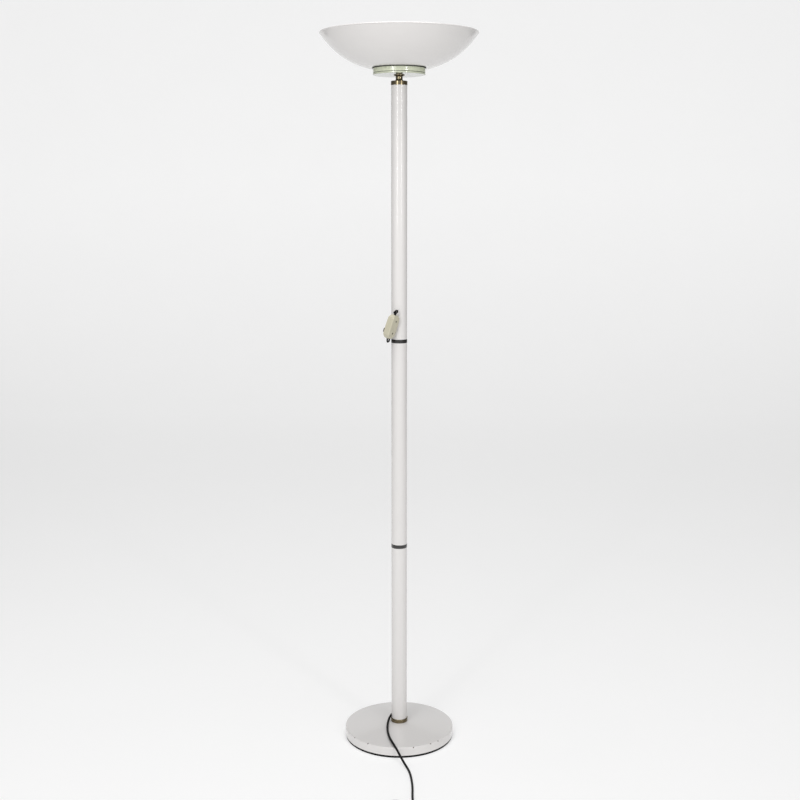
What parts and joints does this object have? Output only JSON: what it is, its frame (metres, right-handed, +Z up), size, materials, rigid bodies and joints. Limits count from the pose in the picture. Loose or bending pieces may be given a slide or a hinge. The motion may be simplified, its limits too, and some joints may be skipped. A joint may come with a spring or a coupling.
{
  "type": "floor lamp",
  "caption": "Torchiere uplighter floor lamp: round weighted base, slim sectioned pole, glass discs under a wide shallow metal bowl, and a slide dimmer hung beside the pole on its leads.",
  "frame": {"origin": "centre of the base on the floor", "axes": "+Z up along the pole; the dimmer hangs on the -Y side, a little to -X, and the mains lead leaves the foot of the pole at -X and runs forward to -Y"},
  "size_m": [0.3909, 0.6519, 1.8],
  "materials": {
    "lacquer": "glossy off-white stove enamel",
    "polished_brass": "polished, slightly aged",
    "black_ring": "glossy black",
    "zinc_steel": "zinc plated",
    "cast_iron": "rough",
    "black_rubber": "matt",
    "green_glass": "clear float glass, green at the edge",
    "quartz": "clear",
    "ceramic": "unglazed steatite",
    "reflector_aluminium": "bright rolled sheet",
    "spring_steel": "drawn wire",
    "contact_brass": "turned",
    "ivory_plastic": "satin ivory",
    "dark_plastic": "moulded",
    "board": "paper laminate",
    "choke": "enamelled winding",
    "cord_sheath": "satin PVC",
    "wire_sleeve": "glass-fibre sleeve",
    "pin_nickel": "nickel plated"
  },
  "bodies": {
    "lamp": {"base_collar": "polished_brass", "base_cover": "lacquer", "base_nut": "zinc_steel", "base_plate": "zinc_steel", "base_rod": "zinc_steel", "base_washer": "zinc_steel", "base_weight": "cast_iron", "bowl": "lacquer", "bowl_nut": "zinc_steel", "bowl_washer": "zinc_steel", "collar_nut": "zinc_steel", "cord_coil": "cord_sheath", "cord_tail": "cord_sheath", "dimmer_board": "board", "dimmer_bushes": "black_rubber", "dimmer_capacitor": "dark_plastic", "dimmer_choke": "choke", "dimmer_cover": "ivory_plastic", "dimmer_housing": "ivory_plastic", "dimmer_screws": "black_ring", "foot_ring": "black_rubber", "glass_bush": "polished_brass", "glass_gasket": "black_rubber", "holder_screws": "zinc_steel", "holder_wires": "wire_sleeve", "lamp_bracket": "zinc_steel", "lamp_caps": "ceramic", "lamp_filament": "spring_steel", "lamp_tube": "quartz", "left_lampholder": "ceramic", "left_spring": "spring_steel", "lower_glass": "green_glass", "lower_joint_ring": "black_ring", "lower_joint_socket": "zinc_steel", "lower_joint_spigot": "zinc_steel", "lower_lead": "cord_sheath", "lower_tube": "lacquer", "mains_cord": "cord_sheath", "middle_tube": "lacquer", "neck_flange": "polished_brass", "neck_rod": "zinc_steel", "plug_body": "cord_sheath", "plug_pins": "pin_nickel", "pole_bushes": "black_rubber", "pole_cap": "polished_brass", "reflector": "reflector_aluminium", "reflector_posts": "zinc_steel", "right_lampholder": "ceramic", "right_spring": "spring_steel", "slide_pot": "dark_plastic", "terminal_block": "dark_plastic", "upper_glass": "green_glass", "upper_joint_ring": "black_ring", "upper_joint_socket": "zinc_steel", "upper_joint_spigot": "zinc_steel", "upper_lead": "cord_sheath", "upper_tube": "lacquer"},
    "slider": {"slider_knob": "dark_plastic"},
    "left_contact": {"left_contact": "contact_brass"},
    "right_contact": {"right_contact": "contact_brass"}
  },
  "joints": [
    {"name": "dimmer_slide", "type": "slide", "parent": "lamp", "child": "slider", "axis": [0.3007, 0, 0.9537], "range_m": [0, 0.026]},
    {"name": "left_contact_slide", "type": "slide", "parent": "lamp", "child": "left_contact", "axis": [-1, 0, 0], "range_m": [0, 0.003], "stiffness_N_per_m": 1000, "deforming": ["left_spring"]},
    {"name": "right_contact_slide", "type": "slide", "parent": "lamp", "child": "right_contact", "axis": [1, 0, 0], "range_m": [0, 0.003], "stiffness_N_per_m": 1000, "deforming": ["right_spring"]}
  ]
}
